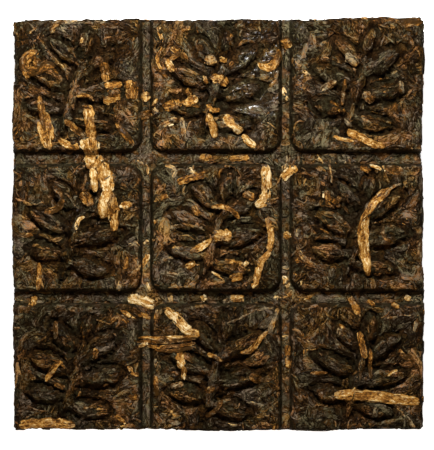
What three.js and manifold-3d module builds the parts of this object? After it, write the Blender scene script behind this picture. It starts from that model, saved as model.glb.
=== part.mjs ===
// Pressed tea brick: a square cake of compressed leaf, scored by grooves into a three by three grid of tablets,
// each with a raised leaf sprig. Millimetres, +Z up, origin at the middle of the flat underside.
import * as THREE from 'three';
import { mergeVertices } from 'three/addons/utils/BufferGeometryUtils.js';
import Module from 'manifold-3d';

// Driving dimensions
const BRICK_SIDE = 100; // overall width and depth
const FACE_HEIGHT = 10; // underside to the tablets' faces
const GRID = 3; // tablets along each side
const GROOVE_PITCH = 34.05; // between the middles of the two grooves
const GRID_SHIFT = new THREE.Vector2(-0.43, -0.6); // the scored grid sits a little off the brick's middle
const GROOVE_DEPTH = 2.2;
const GROOVE_FLOOR = 2.1; // flat width at the bottom of a groove
const WALL_RUN = 0.9; // how far a tablet's rounded wall leans back from the groove floor to the face
const TABLET_CORNER = 2.6; // corner radius of a tablet's face
const EDGE_ROUND = 0.8; // rounding along the brick's upper and lower edges
const CORNER_ROUND = 1.2; // rounding of the brick's four upright corners
const EDGE_WAVE = 0.3; // how unevenly the mould leaves the outer sides
const RELIEF_HEIGHT = 1.5; // how far the sprig stands above a tablet's face

// The sprig on each tablet, measured from the tablet's middle. Each leaf starts at its root and runs along
// its heading, in degrees from +X.
const SPRIG = [
  { root: [-3.5, -13.2], heading: 74, length: 22.5, width: 2.8 }, // stem
  { root: [2.0, 6.2], heading: 80, length: 8.0, width: 3.8 }, // bud
  { root: [0.9, 4.2], heading: 134, length: 10.5, width: 4.2 }, // upper left leaf
  { root: [1.0, 1.8], heading: 36, length: 12.5, width: 4.6 }, // upper right leaf
  { root: [-0.7, -1.2], heading: 154, length: 12.2, width: 4.6 }, // middle left leaf
  { root: [-0.4, -3.4], heading: 12, length: 13.0, width: 4.8 }, // middle right leaf
  { root: [-2.1, -6.8], heading: 170, length: 10.4, width: 4.2 }, // lower left leaf
  { root: [-2.0, -8.6], heading: -10, length: 11.6, width: 4.4 }, // lower right leaf
];

// How finely the round forms are divided
const SIDE_STEPS = 18;
const CORNER_STEPS = 5;
const ROUND_STEPS = 3;
const LEAF_RINGS = 7;
const LEAF_SIDES = 8;

const OVERHANG = 4; // how far the forms run past the brick's outline before they are trimmed to it
const FLOOR_HEIGHT = FACE_HEIGHT - GROOVE_DEPTH;

const wasm = await Module();
wasm.setup();

// A closed three.js geometry as a solid that can be joined and cut.
function solid(geometry) {
  const bare = new THREE.BufferGeometry();
  bare.setAttribute('position', geometry.getAttribute('position'));
  bare.setIndex(geometry.getIndex());
  const merged = mergeVertices(bare, 1e-4);
  return new wasm.Manifold(
    new wasm.Mesh({
      numProp: 3,
      vertProperties: merged.getAttribute('position').array,
      triVerts: new Uint32Array(merged.getIndex().array),
    }),
  );
}

// A solid back as a three.js geometry.
function geometryOf(body) {
  const mesh = body.getMesh();
  const geometry = new THREE.BufferGeometry();
  geometry.setAttribute('position', new THREE.BufferAttribute(new Float32Array(mesh.vertProperties), 3));
  geometry.setIndex(Array.from(mesh.triVerts));
  geometry.computeVertexNormals();
  return geometry;
}

// How far one side lies inside the true square at a share of its length, from 0 to twice the wave.
function sideInset(side, share) {
  const slow = Math.sin(2 * Math.PI * (1.3 * share + 0.37 * side));
  const quick = Math.sin(2 * Math.PI * (3.7 * share + 0.61 * side));
  return EDGE_WAVE * (1 + 0.6 * slow + 0.4 * quick);
}

// The brick's uneven square outline, anticlockwise from its lower left corner, with a point on each corner's round.
function brickOutline() {
  const half = BRICK_SIDE / 2;
  const straight = BRICK_SIDE - 2 * CORNER_ROUND;
  const cornerPoint = half - CORNER_ROUND * (1 - Math.SQRT1_2);
  const middle = new THREE.Vector2();
  const points = [];
  for (let side = 0; side < 4; side += 1) {
    const turn = (side * Math.PI) / 2;
    for (let step = 0; step <= SIDE_STEPS; step += 1) {
      const share = step / SIDE_STEPS;
      const point = new THREE.Vector2(straight * (share - 0.5), sideInset(side, share) - half);
      points.push(point.rotateAround(middle, turn));
    }
    points.push(new THREE.Vector2(cornerPoint, -cornerPoint).rotateAround(middle, turn));
  }
  return new THREE.Shape(points);
}

// The whole cake before scoring, its upper and lower edges rounded.
function cake() {
  const geometry = new THREE.ExtrudeGeometry(brickOutline(), {
    depth: FACE_HEIGHT - 2 * EDGE_ROUND,
    bevelThickness: EDGE_ROUND,
    bevelSize: EDGE_ROUND,
    bevelOffset: -EDGE_ROUND,
    bevelSegments: ROUND_STEPS,
  });
  return solid(geometry.translate(0, 0, EDGE_ROUND));
}

// The slab under the tablets, up to the groove floor.
function floorSlab() {
  const side = BRICK_SIDE + 2 * OVERHANG;
  const geometry = new THREE.BoxGeometry(side, side, FLOOR_HEIGHT + OVERHANG);
  return solid(geometry.translate(0, 0, (FLOOR_HEIGHT - OVERHANG) / 2));
}

// The two ends of a tablet's face along one axis. The outer tablets run past the brick's outline.
function tabletSpan(place, shift) {
  const edgeGap = GROOVE_FLOOR / 2 + WALL_RUN;
  const outer = BRICK_SIDE / 2 + OVERHANG;
  const groove = (index) => shift + (index - (GRID - 2) / 2) * GROOVE_PITCH;
  const low = place === 0 ? -outer : groove(place - 1) + edgeGap;
  const high = place === GRID - 1 ? outer : groove(place) - edgeGap;
  return [low, high];
}

// A rounded rectangle between two corners.
function roundedRectangle(left, bottom, right, top, radius) {
  const quarter = Math.PI / 2;
  const shape = new THREE.Shape();
  shape.absarc(right - radius, bottom + radius, radius, -quarter, 0);
  shape.absarc(right - radius, top - radius, radius, 0, quarter);
  shape.absarc(left + radius, top - radius, radius, quarter, 2 * quarter);
  shape.absarc(left + radius, bottom + radius, radius, 2 * quarter, 3 * quarter);
  return shape;
}

// One tablet: a flat face with rounded corners, whose wall curves down and out to the groove floor.
function tablet(column, row) {
  const [left, right] = tabletSpan(column, GRID_SHIFT.x);
  const [bottom, top] = tabletSpan(row, GRID_SHIFT.y);
  const sunk = FLOOR_HEIGHT / 3;
  const geometry = new THREE.ExtrudeGeometry(roundedRectangle(left, bottom, right, top, TABLET_CORNER), {
    depth: sunk,
    curveSegments: CORNER_STEPS,
    bevelThickness: GROOVE_DEPTH,
    bevelSize: WALL_RUN,
    bevelSegments: ROUND_STEPS,
  });
  return solid(geometry.translate(0, 0, FLOOR_HEIGHT - sunk));
}

// One leaf of the sprig: a spindle, pointed at both ends and flattened to the relief's height.
function leaf({ root, heading, length, width }) {
  const profile = [];
  for (let ring = 0; ring <= LEAF_RINGS; ring += 1) {
    const share = ring / LEAF_RINGS;
    const radius = (width / 2) * Math.sin(Math.PI * share) ** 0.75;
    const onAxis = ring === 0 || ring === LEAF_RINGS;
    profile.push(new THREE.Vector2(onAxis ? 0 : radius, length * share));
  }
  const geometry = new THREE.LatheGeometry(profile, LEAF_SIDES);
  geometry.scale(1, 1, RELIEF_HEIGHT / (width / 2));
  geometry.rotateZ(THREE.MathUtils.degToRad(heading - 90));
  return solid(geometry.translate(root[0], root[1], FACE_HEIGHT));
}

// The middle of a tablet as it shows, between the grooves and the brick's outline.
function tabletMiddle(column, row) {
  const middle = (place, shift) => {
    const half = BRICK_SIDE / 2;
    const [low, high] = tabletSpan(place, shift).map((end) => THREE.MathUtils.clamp(end, -half, half));
    return (low + high) / 2;
  };
  return [middle(column, GRID_SHIFT.x), middle(row, GRID_SHIFT.y)];
}

// The brick: the cake trimmed to its scored tablets, with a sprig raised on each.
function teaBrick() {
  const columns = [...Array(GRID).keys()];
  const places = columns.flatMap((column) => columns.map((row) => [column, row]));
  const tablets = places.map(([column, row]) => tablet(column, row));
  const scored = tablets.reduce((body, piece) => body.add(piece), floorSlab()).intersect(cake());
  const sprig = SPRIG.map(leaf).reduce((body, piece) => body.add(piece));
  const sprigs = places.map(([column, row]) => sprig.translate([...tabletMiddle(column, row), 0]));
  return sprigs.reduce((body, piece) => body.add(piece), scored);
}

const pressedLeaf = new THREE.MeshStandardMaterial({ color: 0x35271a, roughness: 0.6, metalness: 0 });
const brick = new THREE.Mesh(geometryOf(teaBrick()), pressedLeaf);
brick.name = 'tea_brick';

const group = new THREE.Group();
group.add(brick);

export default group;
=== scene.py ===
import math

import bpy
import numpy as np
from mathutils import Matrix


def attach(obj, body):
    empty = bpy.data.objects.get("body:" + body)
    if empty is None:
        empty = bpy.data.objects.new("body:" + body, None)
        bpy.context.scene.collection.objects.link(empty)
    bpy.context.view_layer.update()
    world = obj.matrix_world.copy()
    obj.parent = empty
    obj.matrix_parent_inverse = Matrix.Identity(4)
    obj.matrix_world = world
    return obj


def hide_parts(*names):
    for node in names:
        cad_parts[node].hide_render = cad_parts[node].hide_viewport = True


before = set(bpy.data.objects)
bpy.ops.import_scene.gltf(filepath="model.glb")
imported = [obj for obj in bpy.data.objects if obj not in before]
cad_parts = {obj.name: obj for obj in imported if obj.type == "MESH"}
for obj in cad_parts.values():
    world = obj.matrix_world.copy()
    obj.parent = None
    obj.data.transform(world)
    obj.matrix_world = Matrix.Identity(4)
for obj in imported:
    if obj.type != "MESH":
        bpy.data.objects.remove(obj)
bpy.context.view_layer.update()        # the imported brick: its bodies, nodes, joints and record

bl_info = {
    "name": "Pressed Tea Brick",
    "version": (1, 0, 0),
    "blender": (4, 5, 0),
    "location": "View3D > Sidebar > Tea Brick",
    "description": "Builds a scored brick of pressed tea from leaf strips over a moulded core",
    "category": "Object",
}

CAD_NODE = "tea_brick"
BODY = "root"

MM = 0.001
TURN = 2 * math.pi
IMAGE_WIDTH_PX = 434
IMAGE_HEIGHT_PX = 450
PIXELS_PER_MM = 4.11
BRICK_MIDDLE_PX = (218, 225)
BAKE_MAP = "OFBake"
GRAIN_MAP = "LeafGrain"

# The sprig in each tablet: root from the tablet's middle, heading, length and width, in mm and degrees.
SPRIG_LEAVES = (
    ((-3.5, -13.2), 74, 22.5, 2.8),
    ((2.0, 6.2), 80, 8.0, 3.8),
    ((0.9, 4.2), 134, 10.5, 4.2),
    ((1.0, 1.8), 36, 12.5, 4.6),
    ((-0.7, -1.2), 154, 12.2, 4.6),
    ((-0.4, -3.4), 12, 13.0, 4.8),
    ((-2.1, -6.8), 170, 10.4, 4.2),
    ((-2.0, -8.6), -10, 11.6, 4.4),
)

# Golden stems and tips that lie on the face: tint, width and the points that the strip passes, in mm.
GOLDEN_STRIPS = (
    # upper left tablet
    ("russet", 2.5, (-43.7, 41.0), (-46.2, 41.0), (-47.0, 39.2), (-46.2, 37.4)),
    ("umber", 2.6, (-47.2, 38.2), (-44.8, 37.4), (-42.8, 38.3), (-39.6, 38.1)),
    ("russet", 1.9, (-44.9, 40.2), (-43.2, 38.9)),
    ("orange", 1.2, (-47.2, 37.4), (-46.2, 35.7)),
    ("orange", 1.6, (-43.5, 31.8), (-42.9, 28.2), (-42.2, 24.8), (-41.4, 20.0)),
    ("amber", 1.7, (-42.8, 27.4), (-41.8, 23.6), (-40.8, 17.8)),
    ("gold", 1.5, (-43.8, 25.4), (-43.1, 22.8), (-41.6, 18.6)),
    ("orange", 1.4, (-41.9, 27.6), (-40.9, 23.6), (-40.1, 20.6)),
    ("amber", 2.5, (-31.7, 29.4), (-31.2, 25.6), (-30.6, 19.8)),
    ("orange", 0.8, (-34.4, 31.0), (-32.1, 31.5), (-30.0, 30.0)),
    ("pale", 2.6, (-33.8, 20.8), (-31.1, 19.0), (-28.5, 20.0)),
    ("gold", 3.6, (-31.2, 21.6), (-30.9, 18.0), (-30.2, 13.4)),
    ("pale", 2.0, (-32.8, 16.4), (-28.1, 16.2)),
    ("orange", 1.8, (-27.8, 33.8), (-23.2, 34.2)),
    ("bronze", 1.5, (-26.9, 32.2), (-23.9, 32.6)),
    ("amber", 2.2, (-28.0, 30.0), (-23.6, 31.4)),
    ("orange", 3.0, (-21.3, 35.4), (-20.7, 30.4)),
    ("orange", 2.2, (-27.8, 39.6), (-27.2, 34.9)),
    ("russet", 1.5, (-24.9, 24.9), (-22.8, 22.3), (-20.4, 19.2)),
    ("bronze", 1.5, (-37.4, 25.6), (-34.8, 23.4), (-32.4, 21.4)),
    ("amber", 1.7, (-38.8, 21.0), (-36.3, 19.4), (-33.6, 19.1)),
    ("gold", 2.0, (-17.7, 32.6), (-17.6, 30.0)),
    ("bronze", 2.0, (-19.2, 26.6), (-16.3, 27.2)),
    ("straw", 0.9, (-39.4, 49.2), (-32.4, 49.6)),
    # upper middle tablet
    ("bronze", 1.0, (-9.0, 47.4), (-6.7, 48.1)),
    ("amber", 1.7, (-12.6, 40.3), (-10.8, 37.2)),
    ("russet", 1.2, (-11.9, 40.3), (-9.0, 41.8)),
    ("buff", 2.3, (-3.3, 40.2), (-0.3, 40.0)),
    ("honey", 1.4, (0.4, 40.3), (2.1, 39.9)),
    ("amber", 2.2, (-1.8, 35.4), (0.1, 35.5), (2.2, 34.0)),
    ("bronze", 2.4, (-13.4, 28.6), (-8.9, 29.8)),
    ("gold", 2.3, (-8.0, 29.2), (-4.9, 31.1)),
    ("amber", 2.0, (9.6, 39.7), (12.7, 38.5), (14.4, 40.2), (14.7, 43.0)),
    ("pale", 2.1, (1.4, 26.7), (3.6, 24.3), (5.8, 22.2)),
    ("honey", 1.9, (5.7, 21.8), (7.4, 20.4), (9.2, 19.0)),
    ("gold", 1.9, (-2.8, 27.0), (-1.3, 24.1), (-0.9, 21.0)),
    ("buff", 1.2, (-8.9, 26.3), (-8.2, 21.2)),
    ("buff", 1.3, (-14.8, 22.9), (-12.7, 24.8), (-9.8, 25.8)),
    ("amber", 1.1, (-2.7, 29.5), (-1.1, 27.9), (0.6, 28.2)),
    ("bronze", 1.4, (-7.7, 33.0), (-6.5, 31.3)),
    ("honey", 1.0, (-3.3, 36.2), (-2.7, 34.2)),
    ("amber", 0.9, (-16.1, 29.0), (-14.6, 30.7)),
    ("amber", 2.0, (15.9, 45.5), (17.4, 43.2)),
    # upper right tablet
    ("gold", 1.9, (31.2, 22.9), (34.3, 21.4), (37.3, 19.9), (40.9, 19.5)),
    ("gold", 0.8, (28.0, 21.7), (31.0, 20.7), (33.2, 20.5)),
    ("straw", 2.0, (30.8, 41.0), (32.5, 40.2), (34.0, 38.8)),
    ("olive", 1.5, (25.1, 32.7), (27.2, 34.1), (28.9, 34.9)),
    ("umber", 2.2, (44.4, 49.2), (49.6, 49.8)),
    ("umber", 0.9, (30.9, 35.5), (30.5, 31.9), (30.3, 29.0)),
    ("straw", 1.3, (44.4, 35.2), (44.7, 31.7)),
    ("buff", 2.0, (35.3, 32.3), (37.7, 29.7)),
    ("olive", 1.2, (30.8, 25.9), (32.5, 23.7)),
    ("olive", 1.2, (20.0, 39.4), (19.4, 37.1)),
    # middle left tablet
    ("honey", 1.6, (-30.7, 14.2), (-30.1, 11.0), (-29.8, 7.9)),
    ("honey", 3.3, (-28.2, 15.4), (-27.2, 11.0), (-26.5, 7.8)),
    ("gold", 2.6, (-26.5, 8.8), (-27.6, 5.2), (-27.5, 1.4)),
    ("amber", 2.6, (-26.3, 8.4), (-25.6, 4.2), (-25.3, -1.8)),
    ("amber", 1.2, (-25.8, 4.2), (-23.9, 3.8)),
    ("bronze", 2.4, (-33.4, 7.9), (-31.9, 6.6), (-31.3, 4.5)),
    ("pale", 1.0, (-32.3, 2.1), (-34.0, 0.9), (-34.3, -1.2)),
    ("honey", 1.5, (-23.6, 4.1), (-22.3, 5.0), (-21.2, 4.3)),
    ("amber", 1.2, (-43.6, -9.0), (-43.5, -12.5), (-43.9, -16.1)),
    ("buff", 1.0, (-19.6, -8.0), (-19.4, -10.4), (-21.3, -11.9)),
    ("straw", 1.1, (-23.7, -13.6), (-24.3, -15.9)),
    ("umber", 1.5, (-42.3, 3.3), (-39.6, 3.8), (-37.6, 6.5)),
    # middle tablet
    ("pale", 2.3, (11.6, 15.2), (11.9, 10.4), (11.4, 6.6), (8.8, 4.5)),
    ("orange", 1.7, (-10.0, 10.2), (-6.4, 11.5), (-2.7, 12.6)),
    ("honey", 1.7, (-4.6, 16.4), (-1.5, 16.8)),
    ("amber", 1.5, (2.7, 16.3), (7.8, 16.5)),
    ("gold", 1.7, (-7.0, -6.7), (-4.2, -5.4), (-1.4, -3.3)),
    ("gold", 2.7, (-1.2, -2.7), (1.5, -2.6), (3.4, -2.8)),
    ("amber", 1.6, (11.6, 2.0), (12.9, -2.0), (12.1, -7.2)),
    ("gold", 1.6, (13.1, -6.4), (10.8, -8.6), (9.9, -11.2), (8.2, -15.6)),
    ("orange", 1.2, (-1.9, 4.1), (2.0, 4.2), (5.3, 1.3)),
    ("bronze", 2.0, (6.2, 7.9), (8.9, 6.3)),
    ("gold", 1.5, (-8.0, -10.2), (-5.4, -9.2)),
    ("russet", 1.0, (3.1, -11.1), (5.0, -9.0)),
    ("orange", 1.8, (3.1, -13.1), (6.0, -12.4)),
    ("honey", 1.0, (6.3, -9.9), (7.2, -9.0)),
    ("russet", 1.7, (-6.2, 4.8), (-4.6, 2.1)),
    ("amber", 1.1, (-14.1, 6.5), (-12.2, 7.2)),
    ("olive", 1.3, (-14.4, -11.4), (-8.4, -12.8)),
    ("straw", 0.9, (-11.6, -0.6), (-8.7, -0.2)),
    ("buff", 0.9, (-13.2, 14.6), (-10.3, 13.1), (-11.4, 11.2)),
    # middle right tablet
    ("buff", 0.6, (44.8, 10.1), (42.4, 9.1), (40.6, 7.5)),
    ("amber", 1.9, (42.2, 8.9), (39.4, 6.9), (37.2, 4.6), (35.7, 1.4)),
    ("gold", 2.6, (37.2, 4.6), (35.5, 0.6), (35.5, -6.2), (36.7, -12.9)),
    ("honey", 2.0, (15.8, 11.0), (16.8, 12.5), (19.3, 14.2)),
    ("pale", 0.8, (36.9, 14.6), (38.7, 14.0), (39.9, 13.4)),
    ("russet", 1.2, (34.6, 14.1), (37.0, 13.1)),
    ("umber", 2.0, (40.4, 13.8), (45.3, 13.0)),
    ("straw", 0.7, (27.1, 15.2), (27.7, 10.1)),
    ("buff", 0.9, (19.7, -0.5), (19.0, -2.9)),
    ("buff", 1.0, (19.4, -4.5), (20.4, -7.7), (24.0, -9.7)),
    ("russet", 1.5, (26.5, 8.5), (27.0, 4.7)),
    ("bronze", 1.3, (27.8, 5.3), (30.0, 6.7)),
    ("olive", 1.3, (28.0, 2.8), (30.6, 0.5)),
    ("gold", 1.7, (16.0, -2.4), (17.7, -2.6)),
    ("russet", 0.8, (40.4, 0.0), (40.4, -2.9), (42.1, -4.0)),
    ("straw", 1.2, (49.5, -3.0), (48.7, -9.3)),
    # lower left tablet
    ("amber", 2.4, (-48.8, -48.9), (-42.0, -48.3), (-34.4, -49.0)),
    ("cream", 2.4, (-22.3, -17.8), (-18.9, -18.4), (-15.5, -19.7)),
    ("gold", 1.6, (-45.0, -17.4), (-45.4, -19.6)),
    ("umber", 1.2, (-45.5, -19.3), (-47.0, -21.5)),
    ("umber", 1.2, (-39.5, -23.3), (-39.5, -27.9)),
    ("orange", 1.4, (-42.0, -38.2), (-40.2, -35.3), (-38.0, -32.9)),
    ("russet", 1.2, (-39.9, -38.6), (-37.3, -39.6)),
    ("russet", 1.8, (-21.5, -41.1), (-19.7, -42.3)),
    ("russet", 1.1, (-26.3, -24.0), (-24.0, -22.4), (-21.7, -24.0)),
    ("bronze", 1.2, (-29.6, -29.9), (-29.9, -32.6)),
    ("amber", 1.2, (-19.2, -21.7), (-16.5, -22.6)),
    # lower middle tablet
    ("pale", 2.2, (-13.2, -20.5), (-9.6, -23.3), (-6.8, -25.9), (-4.2, -26.2)),
    ("gold", 0.7, (-19.6, -27.5), (-12.0, -27.4), (-4.0, -26.7)),
    ("russet", 1.0, (-20.2, -28.4), (-12.5, -28.3), (-5.0, -27.6)),
    ("orange", 0.8, (-17.6, -29.6), (-11.0, -29.5), (-5.2, -28.7)),
    ("umber", 0.9, (-15.6, -30.3), (-9.8, -30.5), (-5.6, -29.6)),
    ("pale", 1.0, (-19.3, -29.5), (-17.0, -28.8)),
    ("honey", 2.0, (-9.1, -30.7), (-9.2, -32.6), (-8.5, -34.8)),
    ("gold", 1.3, (-8.4, -34.2), (-8.3, -37.7)),
    ("buff", 1.4, (14.6, -20.1), (13.7, -23.3), (12.4, -26.2)),
    ("amber", 1.4, (12.5, -25.8), (10.3, -27.7), (8.8, -29.7), (5.2, -31.0)),
    ("straw", 0.45, (1.8, -23.9), (6.1, -22.3), (9.8, -20.2)),
    ("bronze", 1.0, (-2.7, -31.3), (-0.7, -32.1), (1.2, -33.2)),
    ("russet", 1.0, (1.1, -42.2), (-0.5, -44.9), (-3.1, -46.7)),
    ("russet", 2.0, (7.6, -36.4), (11.0, -38.1)),
    ("olive", 1.2, (-11.7, -39.3), (-8.4, -38.6)),
    ("russet", 1.5, (-2.9, -40.5), (-1.0, -39.4)),
    ("umber", 1.2, (-15.2, -36.6), (-15.0, -41.9)),
    ("olive", 1.2, (-13.9, -45.7), (-11.3, -47.8), (-8.6, -48.5)),
    ("pale", 1.5, (-4.0, -17.2), (-3.1, -18.6)),
    ("amber", 1.7, (3.0, -17.6), (6.3, -18.1)),
    ("bronze", 1.3, (16.9, -29.2), (17.2, -35.2)),
    # lower right tablet
    ("gold", 2.5, (27.6, -41.4), (35.0, -41.4), (41.0, -42.0), (50.4, -43.2)),
    ("orange", 1.6, (34.2, -25.8), (35.0, -29.4), (35.9, -32.6)),
    ("umber", 0.9, (37.0, -29.7), (37.0, -37.7)),
    ("amber", 1.7, (32.0, -17.2), (33.1, -19.2), (34.2, -21.8)),
    ("amber", 1.1, (42.2, -19.3), (44.1, -20.0)),
    ("orange", 1.1, (36.4, -18.5), (38.4, -19.5)),
    ("straw", 0.6, (41.0, -22.6), (43.8, -22.5)),
    ("bronze", 0.9, (26.7, -36.0), (22.3, -36.1)),
    ("cream", 1.3, (45.6, -17.5), (47.0, -18.2)),
    ("straw", 0.8, (29.5, -24.8), (29.2, -27.2)),
    ("olive", 1.2, (38.6, -44.4), (37.9, -46.8)),
    ("olive", 0.9, (45.0, -45.6), (47.9, -49.5)),
)

# Each tint's place on the golden finish's scale, brown at 0 and pale at 1, and its dullness.
TINTS = {
    "umber": (0.12, 0.1), "russet": (0.22, 0.05), "bronze": (0.31, 0.05), "orange": (0.40, 0.05),
    "amber": (0.49, 0.05), "gold": (0.60, 0.12), "honey": (0.69, 0.16), "pale": (0.80, 0.26),
    "cream": (0.88, 0.35), "olive": (0.16, 0.9), "straw": (0.30, 0.8), "buff": (0.45, 0.75),
}

# Regions of the sheet, the places drawn for each strip that is kept there, and the shares of strips in them.
FIELD, SPRIG, GROOVE, SIDE, UNDERSIDE, FACE = range(6)
SPARE = (4, 10, 24, 5, 3)
REGION_SHARES = (0.42, 0.18, 0.08, 0.15, 0.17)
FLAKE_SHARES = (0.50, 0.11, 0.07, 0.155, 0.165)
NARROW_SHARES = (0.3758, 0.1935, 0.0860, 0.1616, 0.1831)
TIP_SHARES = (0.24, 0.07, 0.05, 0.29, 0.35)
BOTTOM_SIDE, RIGHT_SIDE, TOP_SIDE, LEFT_SIDE = range(4)

# Centre lines: their points before trimming, their least length, and how they follow the sprig.
LINE_STEPS = 60
SHORTEST = 1.0 * MM
FOLLOWED_REACH = 1.6 * MM
FOLLOWED_STRAY = 0.3

# Corners round a strip's cross-section, in degrees from one side over the crest.
TOP_HEAVY_PROFILE = (0, 40, 75, 110, 145, 180, 240, 300)
THIN_PROFILE = (0, 50, 90, 130, 180, 270)
STEM_PROFILE = (0, 25, 50, 75, 100, 125, 150, 180, 220, 260, 300, 335)

# A strip's outline, and its heights in thicknesses of the strip.
END_GAP = 0.03
TAPER_POWER = 0.6
UNDERSIDE_WIDENING = 1.35
PULL_ROUNDS = 3
LEAST_REACH = 0.05
CREST_POWER = 0.45
BELLY = 0.8
RIDGE_TURNS = (1.2, 3.2)
RIDGE_DRIFT = 1.5
RIDGE_SINK = 0.6
WAVE_HEIGHT = 0.25
WAVES_ALONG = 1.5
DIVE_DEPTH = 0.8
DIVE_POWER = 5
TIP_REACH = 0.2
TIP_DEPTH = 2.2
GIRTH_IN_WIDTHS = 2.2

# How far strips rise above the mould, and stray from it on the brick's sides and its frayed right side.
CROWN_CAP = 0.18 * MM
CAP_SOFTNESS = 0.05 * MM
SIDE_STRAY = 0.05 * MM
FRAYED_STRAY = 0.1 * MM
STRAY_ROOM = 3

# Values and maps that each strip carries for its finish.
STRIP_VALUES = ("leaf_tone", "leaf_hue", "leaf_gloss")
MARGIN_VALUE = "leaf_margin"
MARGIN_START = 0.7
CELL_MARGIN = 0.06
GRAIN_SPREAD = 400

# How tone and dullness change over the brick. Patches have a seed, a wavelength and an amount.
# Places and radii are in mm.
TONE_PATCHES = (3815, 26 * MM, 0.08)
HUE_PATCHES = (32, 15 * MM, 0.4)
# Row tones are painted light: lighter along the upper groove and the upper rows, darker towards the lowest
# row.
ROW_PLACES = (-30.0, -14.0, 10.0, 17.0, 24.0)
ROW_PAINTED_LIGHT = (-0.02, 0.015, 0.015, 0.09, 0.03)
GROOVE_TONE = 0.37
GROOVE_VARIETY = 0.5
GROOVE_HUE = 0.5
SPRIG_TONE = 0.22
SPRIG_VARIETY = 0.7
# A painted pool of light round the middle tablet, where the leaf is also duller.
PAINTED_LIGHT_PLACE = (-4.5, 6.5)
PAINTED_LIGHT_RADIUS = 13.0
PAINTED_LIGHT_TONE = 0.27
PAINTED_LIGHT_DULLING = 0.3
WET_PLACE = (9.5, 34.5)
WET_RADIUS = 8.5
WET_DARKENING = 0.06
WET_DULLING = 0.6
DRY_GLOSS = 0.06
DRY_GLOSS_SPREAD = (1.2, 4)

# How much the leaf's patterns change its tone, its roughness and its height.
FIBRE_TONE = 0.24
WRINKLE_TONE = 0.32
CURL_EDGE = 0.6
CURL_STEP = 0.5
MOTTLE_ROUGHNESS = 0.20
SPECK_ROUGHNESS = 0.15
FIBRE_HEIGHT = 0.40
WRINKLE_HEIGHT = 0.40
SPECK_HEIGHT = 0.20
STEP_HEIGHT = 0.45
CREASE_DEPTH = 0.5

# Colour of the leaf: its casts, how much duller light details are than dark ones, which is painted sheen,
# and its torn margins.
PLUM_CAST = (1.025, 0.94, 1.045)
MOSS_CAST = (0.98, 1.04, 0.92)
PAINTED_SHEEN_GREYING = 1.6
WARMTH = 0.08
TORN_PLACE = 0.95
TORN_BLUR = 0.14
GROUND_TONE = 0.36
LEAF_SPECULAR = 0.03
COAT_ROUGHNESS = 0.25

# Colour ramps of the warm and the dull leaves, and of the golden strips with more and with less orange.
RAMPS = {
    "warm": (
        (0.10, "black_leaf"), (0.36, "dark_leaf"), (0.60, "brown_leaf"), (0.85, "chestnut_leaf"),
        (1.0, "tan_leaf")),
    "dull": ((0.10, "black_leaf"), (0.40, "charcoal_leaf"), (0.72, "grey_leaf"), (1.0, "olive_leaf")),
    "golden": ((0.0, "dark_leaf"), (0.25, "russet"), (0.50, "orange"), (0.75, "gold"), (1.0, "pale")),
    "straw": ((0.0, "charcoal_leaf"), (0.30, "olive_leaf"), (0.55, "straw"), (0.77, "gold"), (1.0, "pale")),
}

# Sockets of the Mix node when it mixes colours.
MIX_SHARE, MIX_FIRST, MIX_SECOND = 0, 6, 7
MIX_RESULT = 2

# A distance beyond any on the brick, and a length that only keeps a division from failing.
FAR = 1.0
TINY = 1e-18


def length_setting(name, description, millimetres):
    """A size, shown in the scene's unit of length."""
    return number_setting(name, description, millimetres * MM, "LENGTH")


def pair_setting(name, description, first, second):
    """Two sizes in millimetres, for the grid's two directions."""
    return bpy.props.FloatVectorProperty(
        name=name, description=description, default=(first * MM, second * MM), size=2, unit="LENGTH")


def count_setting(name, description, default):
    """A number of strips."""
    return bpy.props.IntProperty(name=name, description=description, default=default, min=1)


def number_setting(name, description, default, unit="NONE"):
    """A number, with a unit where one fits."""
    return bpy.props.FloatProperty(name=name, description=description, default=default, unit=unit)


def colour_setting(name, description, *colour):
    """A colour in linear light."""
    return bpy.props.FloatVectorProperty(
        name=name, description=description, default=colour, subtype="COLOR", size=3, min=0, max=1)


class BrickSizes(bpy.types.PropertyGroup):
    """Sizes of the pressed brick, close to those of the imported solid."""

    side: length_setting("Side", "Width of the square brick", 100)
    face_height: length_setting("Face Height", "Height of the tablets' faces above the underside", 10)
    groove_pitch: length_setting("Groove Pitch", "Distance between the two grooves of a direction", 34.05)
    grid_shift: pair_setting("Grid Shift", "How far the grid sits off the brick's middle", -0.5, -0.72)
    groove_depth: length_setting("Groove Depth", "Depth of the grooves below the faces", 2.2)
    groove_floor: pair_setting("Groove Floor", "Widths of upright and level grooves' floors", 1.8, 2.65)
    wall_run: length_setting("Wall Run", "How far a tablet's rounded shoulder reaches into the groove", 1.2)
    tablet_corner: length_setting("Tablet Corner", "Radius of a tablet's corners where grooves cross", 2.6)
    edge_round: length_setting("Edge Round", "Radius of the brick's outer edges", 0.9)
    edge_swell: length_setting("Edge Swell", "How far the leaf stands proud of the sides", 0.35)
    top_slope: length_setting("Top Slope", "How much further the top edge reaches at its right end", 0.8)
    edge_wave: length_setting("Edge Wave", "How far the outline waves inwards", 0.3)
    relief_height: length_setting("Relief Height", "Height of the sprig pressed into each tablet", 1.5)


class LeafAmounts(bpy.types.PropertyGroup):
    """How many strips of each kind cover the brick."""

    flakes: count_setting("Leaf Flakes", "Number of small flakes that fill the gaps", 2400)
    broad: count_setting("Broad Leaves", "Number of broad dark leaves", 1350)
    narrow: count_setting("Narrow Leaves", "Number of narrow brown leaves", 1349)
    shreds: count_setting("Shreds", "Number of thin shreds", 1300)
    tips: count_setting("Golden Tips", "Number of small golden tips", 540)


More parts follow.
